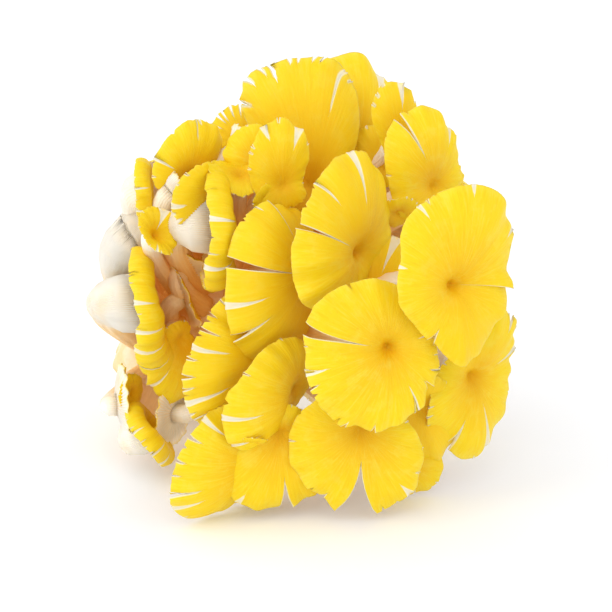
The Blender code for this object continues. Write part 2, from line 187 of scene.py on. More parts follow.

# The clump's sheltered heart in mm and its reach in metres, which mask painted shade, and a painted warm glow
# that stands in for daylight through thin flesh.
depths = dict(heart=(-8, 22, 70), near=0.042, far=0.066, paintedGlowStrength=0.14, outer=(0.55, 0.46, 0.32),
              inner=(0.48, 0.18, 0.02))


def softSkin(name, look):  # a soft finish, its place on the body, its threads and its clouds
    soft = {**softness, **look}
    finish = Finish(name, Roughness=soft["roughness"], Subsurface_Weight=soft["subsurface"],
                    Subsurface_Radius=soft["glow"], Subsurface_Scale=soft["glowDepth"], IOR=soft["bend"],
                    Specular_IOR_Level=soft["gloss"])
    body = finish.vector("body")
    threads = finish.grain(finish.vector("fibre"), **look["threads"])
    return finish, body, threads, finish.grain(body, **look["clouds"])


def inside(finish, body, less=0.0):  # 1 in the heart of the clump, 0 towards its outside; it masks the painted shade and tints the painted glow
    heart = tuple(float(value) for value in placed(depths["heart"]))
    away = finish.add("ShaderNodeVectorMath", dict(operation="DISTANCE"), {"0": body, "1": heart}, output=1)
    return 1 - finish.ramp(away, depths["near"] - less, depths["far"] - less)


def throughLight(finish, body):  # painted glow: an emission that lifts the shade, warmer in the heart
    finish.shader.inputs["Emission Strength"].default_value = depths["paintedGlowStrength"]
    return finish.blend(inside(finish, body), depths["outer"], depths["inner"])


def makeCapSkin():
    look = capLook
    finish, body, threads, clouds = softSkin("cap_skin", look)
    reach, cut, fibre = finish.number("reach"), finish.number("cut"), finish.vector("fibre")
    bands, tint = finish.grain(fibre, **look["bands"]), finish.grain(fibre, **look["tint"])
    mottle, specks = finish.grain(body, **look["mottle"]), finish.grain(body, **look["specks"])
    swayed = reach + (bands - 0.5) * look["bandSway"]
    colour = finish.layer(look["deep"], look["full"], reach, look["outer"])
    colour = finish.layer(colour, look["bright"], swayed, look["outerMost"])
    colour = finish.layer(colour, look["pale"], threads, look["paleThreads"])
    colour = finish.layer(colour, look["deep"], 1 - threads, look["deepThreads"])
    colour = finish.layer(colour, look["pale"], mottle, look["paleMottle"])
    colour = finish.layer(colour, look["full"], clouds, look["cloudy"])
    colour = finish.layer(colour, look["full"], tint, look["golden"])  # some caps are more golden than others
    # painted shade: the skin turns deeper orange towards the clump's sheltered heart
    colour = finish.blend(inside(finish, body, look["heartShadeInset"]) * look["heartShadeShare"], colour, look["heartShade"])
    margin = reach + (threads - 0.5) * look["marginSway"]
    colour = finish.layer(colour, look["pale"], margin, look["paleMargin"])
    rim = reach + (threads - 0.5) * look["rimSway"]
    colour = finish.layer(colour, look["edge"], rim, look["rim"])
    colour = finish.layer(colour, look["edge"], cut, look["torn"])
    colour = finish.layer(colour, look["bruise"], specks, look["speckled"])
    relief = look["relief"]
    height = (threads * relief["threads"] + specks * relief["specks"] + clouds * relief["clouds"]
              + mottle * relief["mottle"])
    roughness = look["roughness"] + (clouds - 0.5) * look["roughSway"]
    return finish.wear(Base_Color=colour, Roughness=roughness, Normal=finish.bump(height, **look["bump"]))


def makeFlesh():
    look = fleshLook
    finish, _, threads, clouds = softSkin("white_flesh", look)
    colour = finish.layer(look["light"], look["dark"], clouds, look["cloudy"])
    return finish.wear(Base_Color=colour, Normal=finish.bump(threads, **look["bump"]))


def makeGills():
    look = gillLook
    finish, body, threads, clouds = softSkin("gills", look)
    reach, valley = finish.number("reach"), finish.number("valley")
    colour = finish.layer(look["light"], look["warm"], clouds, look["cloudy"])
    # painted shade: tan in the valleys between the gill ridges and in the clump's sheltered heart
    colour = finish.blend(valley * look["valleyShadeShare"], colour, look["tan"])
    colour = finish.blend(inside(finish, body) * look["heartShadeWeight"], colour, look["tan"])
    colour = finish.layer(colour, look["rim"], reach, look["rimBand"])
    # the emission is a painted warm glow
    return finish.wear(Base_Color=colour, Emission_Color=throughLight(finish, body),
                       Normal=finish.bump(threads, **look["bump"]))


def makeStemSkin():
    look = stemLook
    finish, body, threads, clouds = softSkin("stem_skin", look)
    colour = finish.layer(look["light"], look["warm"], clouds, look["cloudy"])
    # towards the butt the stems turn tan, partly their own colour and partly painted warm shade; in the
    # clump's heart the same tan is painted shade
    swayed = finish.number("root") + (clouds - 0.5) * look["rootSway"]
    colour = finish.layer(colour, look["root"], swayed, look["rooted"])
    colour = finish.blend(inside(finish, body) * look["heartShadeWeight"], colour, look["root"])
    colour = finish.layer(colour, look["warm"], threads, look["warmThreads"])
    height = threads + clouds * look["cloudRelief"]
    # the emission is a painted warm glow
    return finish.wear(Base_Color=colour, Emission_Color=throughLight(finish, body),
                       Normal=finish.bump(height, **look["bump"]))


skins = [makeCapSkin(), makeFlesh(), makeGills(), makeStemSkin()]
capPart, fleshPart, gillPart, stemPart = range(len(skins))
print("finishes made")


def smooth(value):
    value = np.clip(value, 0.0, 1.0)
    return value * value * (3 - 2 * value)


def unit(vector):
    return vector / np.linalg.norm(vector)


def gap(angle, other):  # the signed way from one angle to another, within half a turn
    return (angle - other + math.pi) % math.tau - math.pi


def anyPhase(chance):
    return chance.uniform(0, 6.28)


floorPlan = dict(bend=3.0)  # rims that would pass the floor are bent along it


def offTheFloor(points):
    height, bend = points[..., 2], floorPlan["bend"]
    points[..., 2] = np.where(height < bend, bend * np.exp(np.minimum(height - bend, 0.0) / bend), height)
    return points


def axesOf(face):  # right, up and outwards for a cap that faces (azimuth, elevation)
    azimuth, elevation = (math.radians(angle) for angle in face)
    out = np.array([math.sin(azimuth) * math.cos(elevation), -math.cos(azimuth) * math.cos(elevation),
                    math.sin(elevation)])
    up = unit(np.array([0.0, 0.0, 1.0]) - out[2] * out)
    return np.cross(up, out), up, out


def around(values, angle):  # a smooth closed curve through values at equal steps
    values = np.asarray(values, float)
    count = len(values)
    place = (angle / math.tau % 1.0) * count
    low = np.floor(place).astype(int) % count
    part = place - np.floor(place)
    before, here, after, beyond = (values[(low + i) % count] for i in (-1, 0, 1, 2))
    slopeHere, slopeAfter = (after - before) / 2, (beyond - here) / 2
    square, cube = part ** 2, part ** 3
    return ((2 * cube - 3 * square + 1) * here + (cube - 2 * square + part) * slopeHere
            + (3 * square - 2 * cube) * after + (cube - square) * slopeAfter)


class Skin:  # collects one piece's points and faces, and the values that its finishes read
    numbers = ("reach", "cut", "root", "valley")

    def __init__(self):
        self.points, self.fibre, self.faces, self.parts = [], [], [], []
        self.values = {label: [] for label in self.numbers}

    def point(self, place, fibre=(0, 0, 0), **values):
        self.points.append(place)
        self.fibre.append(fibre)
        for label in self.numbers:
            self.values[label].append(values.get(label, 0.0))
        return len(self.points) - 1

    def face(self, corners, part):
        corners = list(dict.fromkeys(corners))
        if len(corners) > 2:
            self.faces.append(corners)
            self.parts.append(part)

    def band(self, low, high, part, flip=False):  # faces between two rings of points
        for index in range(len(low)):
            after = (index + 1) % len(low)
            corners = [low[after], high[after], high[index], low[index]]
            self.face(corners[::-1] if flip else corners, part)

    def piece(self, name, finishes):
        points = placed(offTheFloor(np.array(self.points)))
        mesh = bpy.data.meshes.new(name)
        mesh.from_pydata(points.tolist(), [], self.faces)
        for finish in finishes:
            mesh.materials.append(finish)
        mesh.polygons.foreach_set("material_index", self.parts)
        mesh.polygons.foreach_set("use_smooth", [True] * len(self.faces))
        for label in self.numbers:
            layer = mesh.attributes.new(label, "FLOAT", "POINT")
            layer.data.foreach_set("value", np.array(self.values[label], np.float32))
        for label, values in (("fibre", self.fibre), ("body", points)):
            layer = mesh.attributes.new(label, "FLOAT_VECTOR", "POINT")
            layer.data.foreach_set("vector", np.array(values, np.float32).ravel())
        mesh.update()
        item = bpy.data.objects.new(name, mesh)
        bpy.context.scene.collection.objects.link(item)
        return item


# at: the cap's middle in mm. face: the way it looks, azimuth from the front then elevation, in degrees.
# rim: reach in mm at equal steps around, from its right. funnel, middle, margin: the skin's slope in
# degrees at the hub, the bend and the rim. splits: angle, depth as a share, width in degrees, kind, lift;
# the sides of a split with a negative width overlap.
usualCap = dict(
    rim=(28,), funnel=50.0, middle=5.0, margin=-40.0, turn=0.42, curl=1.6, wave=8.0, waves=3, ripple=5.0,
    saddle=0.0, saddleTo=0.0, splits=(), nicks=10, slits=12, neck=0.22, stem=None, spread=1.01,
)
tear, parted = "tear", "parted"
strip = dict(funnel=70, middle=48, margin=-120, turn=0.52, curl=1.0, neck=0.4)  # curled, seen edge-on
backCap = dict(wave=12, ripple=8)
mushrooms = {
    "top_fan": dict(at=(2, 8, 108), face=(2, 25), rim=(15, 15, 17, 24, 34, 45, 48, 48, 45, 30, 18, 15, 14, 14,
        14, 14, 14, 14, 14, 14, 14, 14, 14, 14), funnel=40, middle=12, wave=4, slits=4, splits=((76, 0.4, 1.5,
        tear), (124, 0.09, 2.5, parted, 4), (118, 0.11, 2.5, parted, -3), (112, 0.08, 2, parted, 3), (106,
        0.17, 4, parted, -3), (100, 0.06, 2, parted, 3), (95, 0.05, 1.5, parted, 3), (90, 0.05, 2, parted,
        -3), (84, 0.06, 1.5, parted, 3))),
    "top_right_fan": dict(at=(15, 24, 102), face=(25, 20), rim=(17, 31, 45, 52, 34, 18, 14, 14, 14, 14, 14,
        15), funnel=40, middle=15, margin=-50, nicks=12, slits=4, splits=((66, 0.3, 5, tear),)),
    "top_bud_right": dict(at=(33, 10, 122), face=(15, 12), rim=(6, 8, 14, 24, 18, 9, 6, 6, 6, 6, 6, 6),
        funnel=35, nicks=4, splits=((80, 0.4, 6, tear),)),
    "top_bud_low": dict(at=(28, 16, 113), face=(-10, 12), rim=(8, 10, 14, 16, 12, 8, 8, 8), funnel=35),
    "upper_right": dict(at=(44, -2, 111), face=(28, 12), rim=(13, 15, 22, 31, 31, 23, 19, 18, 17, 12, 10, 11),
        funnel=55, margin=-50, nicks=14, slits=4, splits=((114, 0.6, 4, parted, -8), (66, 0.3, 4, tear))),
    "right_behind": dict(at=(51, 6, 105), face=(40, 20), rim=(8, 11, 13, 12, 10, 8, 8, 8), margin=-50),
    "right_large": dict(at=(48, -38, 87), face=(30, 10), rim=(26, 33, 39, 39, 35, 27, 26, 23, 24, 32, 28, 26),
        funnel=70, middle=6, margin=-38, turn=0.46, nicks=6, slits=3, splits=((352, 0.8, -10, parted, 15),
        (241, 0.2, 8, parted, 5), (112, 0.14, 3, tear), (32, 0.16, 3, tear), (76, 0.12, 2.5, tear), (155,
        0.12, 3, tear))),
    "centre_large": dict(at=(15, -22, 93), face=(42, 10), rim=(17, 25, 35, 42, 38, 35, 36, 33, 24, 16, 14,
        14), funnel=70, middle=2, margin=-50, turn=0.5, nicks=12, slits=3, splits=((150, 0.66, 2.5, parted,
        -8), (88, 0.45, 4, tear), (116, 0.3, 4, tear))),
    "centre_low_large": dict(at=(27, -44, 67), face=(14, 8), rim=(19, 18, 22, 27, 31, 36, 35, 35, 37, 31, 28,
        23), funnel=72, margin=-34, turn=0.48, waves=4, slits=4, splits=((164, 0.64, 9, parted, -10), (188,
        0.22, 5, tear), (292, 0.35, 5, tear), (314, 0.25, 7, parted), (326, 0.16, 6, parted), (258, 0.08, 3,
        parted), (238, 0.07, 3, parted), (12, 0.3, 4, tear))),
    "left_middle_large": dict(at=(-3, -20, 85), face=(52, 2), rim=(14, 18, 22, 28, 35, 38, 38, 40, 42, 38, 24,
        16), funnel=48, middle=-8, margin=-75, nicks=14, slits=8, splits=((161, 0.72, 7, parted, 8), (186,
        0.4, 4, tear), (206, 0.35, 4, parted), (112, 0.5, -6, parted, 6))),
    "left_low_fan": dict(at=(-17, -24, 57), face=(54, 0), rim=(16, 18, 22, 26, 30, 34, 41, 39, 34, 26, 18,
        16), funnel=45, middle=-5, margin=-65, nicks=30, slits=16, splits=((150, 0.22, 2.5, parted, 3), (163,
        0.36, 3, tear), (192, 0.42, 4, tear), (206, 0.16, 2.5, parted), (177, 0.12, 2.5, parted), (138, 0.12,
        2.5, parted), (184, 0.1, 2, parted), (170, 0.1, 2, parted))),
    "front_left_band": dict(at=(-5, -36, 48), face=(52, -8), rim=(14, 14, 17, 21, 24, 28, 34, 34, 25, 15, 13,
        12), funnel=45, middle=-8, margin=-70, nicks=6, slits=4, splits=((188, 0.4, 5, tear), (212, 0.3, 4,
        tear))),
    "bottom_left": dict(at=(-19, -36, 22), face=(42, -8), rim=(14, 14, 17, 22, 29, 33, 36, 36, 28, 15, 12,
        12), funnel=40, middle=-5, margin=-60, nicks=30, slits=16, splits=((138, 0.3, 3.5, tear), (152, 0.16,
        2.5, parted), (190, 0.26, 3, parted), (204, 0.3, 4, tear), (170, 0.1, 2.5, parted), (180, 0.08, 2,
        parted))),
    "bottom_behind": dict(at=(-16, -32, 19), face=(32, -6), rim=(12, 12, 12, 12, 12, 14, 16, 20, 22, 19, 15,
        12), funnel=40, middle=-5, margin=-60),
    "bottom_middle": dict(at=(-9, -42, 34), face=(5, -5), rim=(12, 12, 12, 12, 12, 14, 19, 25, 31, 32, 29,
        18), margin=-35, nicks=14, splits=((275, 0.42, 9, parted, 6), (240, 0.15, 4, tear))),
    "bottom_right": dict(at=(19, -42, 36), face=(8, -3), rim=(18, 14, 14, 14, 17, 22, 27, 29, 31, 34, 34, 27),
        margin=-36, wave=5, slits=6, splits=((266, 0.64, 26, parted, 4), (250, 0.08, 4, parted), (300, 0.2, 5,
        tear))),
    "low_right_small": dict(at=(39, -32, 40), face=(20, -18), rim=(16, 14, 14, 14, 14, 14, 14, 22, 29, 30, 28,
        21), funnel=45, margin=-45, nicks=16, splits=((245, 0.2, 5, tear), (225, 0.12, 5, parted))),
    "right_low": dict(at=(57, -20, 47), face=(36, -6), rim=(20, 24, 30, 22, 16, 16, 20, 26, 28, 36, 30, 22),
        funnel=64, middle=6, margin=-36, nicks=12, splits=((20, 0.5, 6, tear), (285, 0.6, 6, tear), (252,
        0.45, 6, parted), (50, 0.25, 5, parted))),
    "streaked": dict(at=(23, -20, 75), face=(2, 20), rim=(14, 20, 24, 25, 24, 20, 14, 12, 12, 12, 12, 12),
        funnel=40, margin=-30, splits=((68, 0.6, 9, tear), (92, 0.5, 9, tear))),
    "petal_top": dict(at=(-8, -14, 115), face=(10, 8), rim=(7, 9, 17, 24, 19, 14, 11, 10, 10, 9, 9, 9),
        funnel=35, margin=-30, splits=((75, 0.35, 8, tear), (102, 0.25, 7, tear))),
    "petal_top_left": dict(at=(-15, -4, 119), face=(0, 10), rim=(8, 10, 15, 17, 14, 10, 8, 8), margin=-45),
    "ragged_back": dict(at=(-21, 18, 121), face=(-15, 15), rim=(9, 11, 14, 14, 15, 15, 12, 9, 8, 8, 8, 8),
        margin=-35, slits=0, splits=((150, 0.3, 4, parted, 3), (138, 0.3, 4, parted, -3), (128, 0.35, 4,
        parted, 3), (116, 0.3, 4, parted, -3), (105, 0.35, 4, parted, 3), (94, 0.3, 4, parted, -3), (84, 0.3,
        4, parted, 3), (60, 0.3, 5, parted))),
    "upper_left_curl": dict(at=(-42, 2, 113), face=(30, -5), rim=(10, 15, 23, 24, 21, 18, 15, 10, 8, 8, 9,
        10), funnel=45, middle=15, margin=-60, splits=((140, 0.45, 9, tear), (86, 0.3, -4, parted, 8))),
    "crescent": dict(at=(-32, -6, 113), face=(50, -10), rim=(8, 8, 9, 9, 12, 17, 23, 21, 13, 8, 8, 8),
        funnel=40, margin=-45, stem=3.2, nicks=24, splits=((188, 0.25, 5, tear), (200, 0.12, 4, parted))),
    "tall_strip": dict(strip, at=(-45, -12, 101), face=(93, -5), rim=(34, 34, 35, 38, 40, 42, 42, 36),
        stem=3.8, nicks=6, slits=4, splits=((158, 0.3, 5, tear), (205, 0.3, 6, tear))),
    "left_upper": dict(at=(-59, 4, 108), face=(88, 4), rim=(15, 15, 16, 17, 18, 18, 17, 15), funnel=42,
        middle=30, margin=-120, turn=0.45, curl=1.0, stem=2.8, slits=4, neck=0.4, splits=((160, 0.3, 5, tear),
        (200, 0.25, 5, tear))),
    "left_white": dict(at=(-72, 6, 79), face=(105, 40), rim=(24, 26, 28, 26, 24, 25, 26, 24), funnel=52,
        middle=75, margin=100, turn=0.5, curl=1.0, stem=5.5, wave=3, ripple=2, slits=2, neck=0.62),
    "curly_small": dict(at=(-54, -14, 96), face=(40, 30), rim=(10, 11, 12, 11, 9, 9, 11, 10), funnel=72,
        middle=42, margin=-15, stem=2.8, saddle=14, saddleTo=30, slits=8, neck=0.4, splits=((60, 0.7, 30,
        tear), (240, 0.3, 8, tear))),
    "left_strip": dict(strip, at=(-71, -4, 69), face=(92, 0), rim=(32, 32, 34, 36, 39, 45, 50, 36), stem=6.5,
        nicks=8, slits=6, splits=((165, 0.2, 5, tear), (192, 0.28, 5, tear), (215, 0.3, 6, tear), (236, 0.3,
        5, tear))),
    "left_petal": dict(at=(-45, -8, 56), face=(40, -10), rim=(5, 5, 6, 7, 8, 9, 11, 15, 23, 30, 25, 11),
        funnel=35, margin=-50, stem=2.5, splits=((238, 0.4, 7, tear),)),
    "upper_left_petal": dict(at=(-50, -6, 108), face=(95, 42), rim=(9, 9, 10, 10, 10, 10, 9, 9), funnel=60,
        middle=70, margin=75, stem=3.2, neck=0.4),
    "tan_inner": dict(at=(-45, 4, 78), face=(150, 40), rim=(14, 14, 14, 13, 13, 13, 13, 14), margin=-30),
    "left_far_low": dict(at=(-69, -2, 27), face=(103, 4), rim=(10, 13, 16, 13, 11, 12, 14, 12), funnel=30,
        middle=15, margin=0, stem=2.2, wave=4),
    "left_low_strip": dict(strip, at=(-64, -6, 14), face=(92, 33), rim=(22, 22, 23, 25, 27, 26, 24, 22),
        splits=((150, 0.2, 5, tear), (190, 0.3, 5, tear), (215, 0.25, 5, tear))),
    "tan_low": dict(at=(-47, -2, 24), face=(-120, 5), rim=(14,), margin=-30),
    "bud_mid_left": dict(at=(-27, 6, 121), face=(115, 25), rim=(8, 9, 10, 9, 8, 8, 8, 8), funnel=65,
        middle=50, margin=10),
    "trough_small": dict(at=(-23, -10, 117), face=(8, 60), rim=(12, 9, 8, 9, 12, 9, 9, 9), funnel=35,
        margin=-15, saddle=35, splits=((75, 0.5, 30, tear),)),
    "bud_left_of_8": dict(at=(-13, -14, 110), face=(35, -15), rim=(7,)),
    "tan_between": dict(at=(32, -10, 104), face=(10, -30), rim=(9, 8, 8, 8, 9, 8, 8, 8)),
    "low_behind": dict(at=(36, -26, 16), face=(22, -10), rim=(14, 12, 12, 12, 14, 15, 17, 17), splits=((285,
        0.3, 6, tear),)),
    "tan_inner_low": dict(at=(-45, 2, 67), face=(110, 20), rim=(13, 13, 13, 13, 12, 12, 13, 13), margin=-30),
    "left_low_bud": dict(at=(-64, -2, 32), face=(60, 5), rim=(8,), margin=-50, stem=2.5),
    "tiny_young": dict(at=(-19, -50, 34), face=(0, -60), rim=(6,), margin=-60, stem=3),
    "back_top": dict(backCap, at=(4, 34, 120), face=(172, 60), rim=(23, 26, 23, 19, 21, 26, 29, 25),
        splits=((40, 0.4, 5, tear), (150, 0.35, 6, parted), (262, 0.3, 5, tear), (320, 0.2, 4, parted))),
    "back_top_left": dict(backCap, at=(-40, 36, 106), face=(-140, 48), rim=(24, 21, 18, 20, 24, 23, 20, 23),
        splits=((80, 0.35, 5, tear), (205, 0.4, 7, parted), (300, 0.3, 5, tear))),
    "back_top_right": dict(backCap, at=(42, 26, 108), face=(120, 40), rim=(21, 24, 21, 18, 21, 26, 25, 22),
        splits=((20, 0.4, 6, parted), (130, 0.3, 5, tear), (250, 0.35, 5, tear))),
    "back_right": dict(backCap, at=(52, 14, 76), face=(100, 5), rim=(24, 20, 17, 20, 22, 19, 21, 25),
        splits=((60, 0.35, 5, tear), (165, 0.4, 6, tear), (285, 0.3, 6, parted))),
    "back_right_low": dict(backCap, at=(40, 18, 36), face=(112, -12), rim=(18, 21, 20, 17, 20, 23, 24, 20),
        splits=((35, 0.3, 5, parted), (180, 0.4, 6, tear), (240, 0.3, 5, tear))),
    "back_middle_right": dict(backCap, at=(24, 48, 78), face=(150, 15), rim=(25, 22, 20, 24, 25, 21, 21, 25),
        splits=((75, 0.45, 6, tear), (190, 0.35, 6, parted), (310, 0.3, 5, tear))),
    "back_middle": dict(backCap, at=(-14, 56, 92), face=(188, 25), rim=(20, 24, 22, 19, 20, 23, 20, 18),
        splits=((50, 0.3, 5, tear), (140, 0.4, 6, parted), (255, 0.35, 6, tear))),
    "back_low": dict(backCap, at=(12, 48, 28), face=(150, -20), rim=(21, 18, 19, 22, 20, 18, 22, 24),
        splits=((95, 0.4, 6, tear), (215, 0.3, 5, tear), (330, 0.3, 6, parted))),
    "back_left": dict(backCap, at=(-52, 42, 86), face=(-135, 25), rim=(19, 21, 18, 16, 19, 22, 19, 17),
        splits=((70, 0.4, 6, tear), (170, 0.3, 5, parted), (290, 0.35, 5, tear))),
    "back_left_low": dict(at=(-68, 38, 60), face=(-120, 5), rim=(14, 15, 14, 13, 15, 14, 13, 15), wave=10,
        ripple=6, splits=((45, 0.35, 6, tear), (200, 0.35, 6, parted), (300, 0.3, 5, tear))),
}
capPlan = dict(
    hub=0.4, lobes=(5, 7, 11, 17, 29), lobeDepth=0.06,  # mm at the middle, and the outline's waves
    nickShare=0.09, nickMost=3.2, nickLeast=0.4, nickTaper=2, ragged=0.10, splitTip=0.3, bittenFrom=0.86,
    waveKinds=3, waveFade=0.6, rippleRange=(9, 22), rippleFade=0.5, ripplePower=3.5,
    splitReach=0.5, liftReach=0.35, splitPower=1.2, partedLift=(4, 12), tearLift=2,
    slitGap=5, slitDepth=(0.03, 0.11), slitWidth=(0.9, 2.2), slitLift=(-4, 4), groove=0.5, grooveFade=6,
    usualSize=28.0, columnsPerMm=9.0, fewestColumns=64, mostColumns=320, fibre=2, apart=3.7,
    start=0.04, even=0.75, fewestRows=5, rowGap=5, closer=(0.82, 0.88, 0.93, 0.965, 0.985, 1.0),
)
gillPlan = dict(
    flesh=1.6, rimFlesh=0.35, fleshPower=0.7, blade=2.3, bladeFade=0.35, neckBlade=0.45, neckFade=0.25,
    least=0.15, valley=0.35, shortFrom=0.42, shortFade=0.2, pitch=4, ridges={0: 1.0, 2: 0.5},
    neckRows=6, even=0.78, fewestRows=4, rowGap=6, closer=(0.87, 0.94, 1.0),
)


def rowsOf(shape, start, size):  # shares of the reach where rows of points stand, closer near the rim
    count = max(shape["fewestRows"], int(shape["fewestRows"] - 1 + size / shape["rowGap"]))
    return np.concatenate([np.linspace(start, shape["even"], count), shape["closer"]])


def fibreOf(cap, angle, share):  # a place along the threads, apart for each mushroom
    wide = capPlan["fibre"]
    return math.cos(angle) * wide + cap["seed"] * capPlan["apart"], math.sin(angle) * wide, share


def withSlits(cap):  # small random slits in the margin, clear of the planned splits
    chance = random.Random(cap["seed"] + 900)
    splits = list(cap["splits"])
    for _ in range(cap["slits"]):
        angle = chance.uniform(0, 360)
        depth, width, lift = (chance.uniform(*capPlan[key]) for key in ("slitDepth", "slitWidth", "slitLift"))
        if all(abs((angle - split[0] + 180) % 360 - 180) > capPlan["slitGap"] for split in splits):
            splits.append((angle, depth, width, parted, lift))
    return splits


def columnsOf(cap, count):  # (angle, gill ridge, side of a split, split) per line from the hub to the rim
    step = math.tau / count
    taken = {}
    for split in sorted(cap["splits"], key=lambda split: split[0] % 360):
        place = int(round(math.radians(split[0] % 360) / step)) % count | 1
        while place in taken or place >= count:
            place = (place + 2) % count
        taken[place] = split
    columns = []
    for place in range(count):
        split = taken.get(place)
        if split is None:
            ridge = gillPlan["ridges"].get(place % gillPlan["pitch"], 0.0)
            columns.append((place * step, ridge, None, None))
            continue
        sides = (-1, 0, 1) if split[3] == tear else (-1, 1)
        columns += [(place * step, 0.0, side, split) for side in sides]
    return columns


def outline(cap, columns, angle, chance):  # how far each line reaches, and how deep the rim is bitten there
    shape = capPlan
    reach = around(cap["rim"], angle) * cap["spread"]
    for k in shape["lobes"]:
        reach = reach * (1 + shape["lobeDepth"] / k * np.cos(k * angle + anyPhase(chance)))
    nick = np.zeros_like(angle)
    deepest = min(shape["nickMost"], shape["nickShare"] * float(np.mean(cap["rim"])))
    for _ in range(cap["nicks"]):
        place = chance.randrange(len(columns))
        size = chance.uniform(shape["nickLeast"], 1.0) ** shape["nickTaper"] * deepest
        nick[0, place] = max(nick[0, place], size)
    nick += np.array([[chance.uniform(-shape["ragged"], shape["ragged"]) for _ in columns]])
    for place, column in enumerate(columns):
        if column[3] is not None:
            nick[0, place] = -shape["splitTip"]
    return reach, nick


def slopes(cap, angle, t, chance):  # the skin's slope in degrees along each line
    shape, turn = capPlan, cap["turn"]
    rise = smooth(t / turn)
    fall = np.clip((t - turn) / (1 - turn), 0, 1) ** cap["curl"]
    slope = np.where(t < turn, cap["funnel"] + (cap["middle"] - cap["funnel"]) * rise,
                     cap["middle"] + (cap["margin"] - cap["middle"]) * fall) + 0 * angle
    for i in range(shape["waveKinds"]):
        waves, fade = cap["waves"] + i, 1 + shape["waveFade"] * i
        slope = slope + cap["wave"] / fade * np.cos(waves * angle + anyPhase(chance)) * t ** 2
    for i in range(shape["waveKinds"]):
        waves, fade = chance.randrange(*shape["rippleRange"]), 1 + shape["rippleFade"] * i
        slope = slope + (cap["ripple"] / fade * np.cos(waves * angle + anyPhase(chance))
                         * t ** shape["ripplePower"])
    return slope + cap["saddle"] * np.cos(2 * (angle - math.radians(cap["saddleTo"]))) * t


def openSplits(cap, columns, angle, t, slope, chance):  # bearings and slopes with every split opened
    shape = capPlan
    bearing = angle + 0 * t
    for split in cap["splits"]:
        middle, depth, width, kind = math.radians(split[0]), split[1], split[2], split[3]
        away = gap(angle, middle)
        which = np.sign(away)
        for place, column in enumerate(columns):
            if column[3] is split:
                which[0, place], away[0, place] = column[2], 0.0
        spread = np.clip((t - 1 + depth) / depth, 0, 1) ** shape["splitPower"]
        bearing = bearing + (which * math.radians(width) / 2 * spread
                             * np.exp(-np.abs(away) / shape["splitReach"]))
        size = chance.uniform(*shape["partedLift"]) if kind == parted else shape["tearLift"]
        guess = size * chance.choice((-1, 1))
        lift = split[4] if len(split) > 4 else guess
        slope = slope + which * lift * spread * np.exp(-np.abs(away) / shape["liftReach"])
    return bearing, slope


def capSurface(cap, columns, rows):  # points, normals and bearings of the upper skin, a row per share
    chance = random.Random(cap["seed"])
    right, up, out = axesOf(cap["face"])
    angle = np.array([column[0] for column in columns])[None, :]
    t = np.asarray(rows)[:, None]
    reach, nick = outline(cap, columns, angle, chance)
    slope = slopes(cap, angle, t, chance)
    bearing, slope = openSplits(cap, columns, angle, t, slope, chance)
    slope = np.radians(slope)
    step = np.diff(np.asarray(rows), prepend=0.0)[:, None]

    def between(values):
        return np.concatenate([values[:1], (values[1:] + values[:-1]) / 2])

    width = capPlan["hub"] + np.cumsum(between(np.cos(slope)) * reach * step, axis=0)
    height = np.cumsum(between(np.sin(slope)) * reach * step, axis=0)
    bitten = -nick * smooth((t - capPlan["bittenFrom"]) / (1 - capPlan["bittenFrom"]))
    width, height = width + bitten * np.cos(slope), height + bitten * np.sin(slope)
    spoke = np.cos(bearing)[..., None] * right + np.sin(bearing)[..., None] * up
    points = np.array(cap["at"], float) + width[..., None] * spoke + height[..., None] * out
    normals = -np.sin(slope)[..., None] * spoke + np.cos(slope)[..., None] * out
    return points, normals, bearing


def underSurface(cap, columns, under, scale):  # the gills' points, bearings and valleys
    shape = gillPlan
    within = np.linspace(capPlan["start"], cap["neck"], shape["neckRows"])[:-1]
    lower, out, bearing = (values[len(within):]
                           for values in capSurface(cap, columns, np.concatenate([within, under])))
    ridge = np.array([column[1] for column in columns])[None, :]
    t = under[:, None]
    flesh = (shape["rimFlesh"] + shape["flesh"] * np.clip(1 - t, 0, 1) ** shape["fleshPower"]) * scale ** 0.5
    full = shape["neckBlade"] + (1 - shape["neckBlade"]) * smooth((t - cap["neck"]) / shape["neckFade"])
    blade = shape["blade"] * scale * smooth((1 - t) / shape["bladeFade"]) * full + shape["least"]
    short = smooth((t - shape["shortFrom"]) / shape["shortFade"])
    crest = np.where(ridge > 0.9, 1.0, np.where(ridge > 0.4, short, 0.0))
    lower = lower - out * (flesh + blade * (shape["valley"] + (1 - shape["valley"]) * crest))[..., None]
    return lower, bearing, np.clip(1 - crest, 0, 1) + 0 * bearing


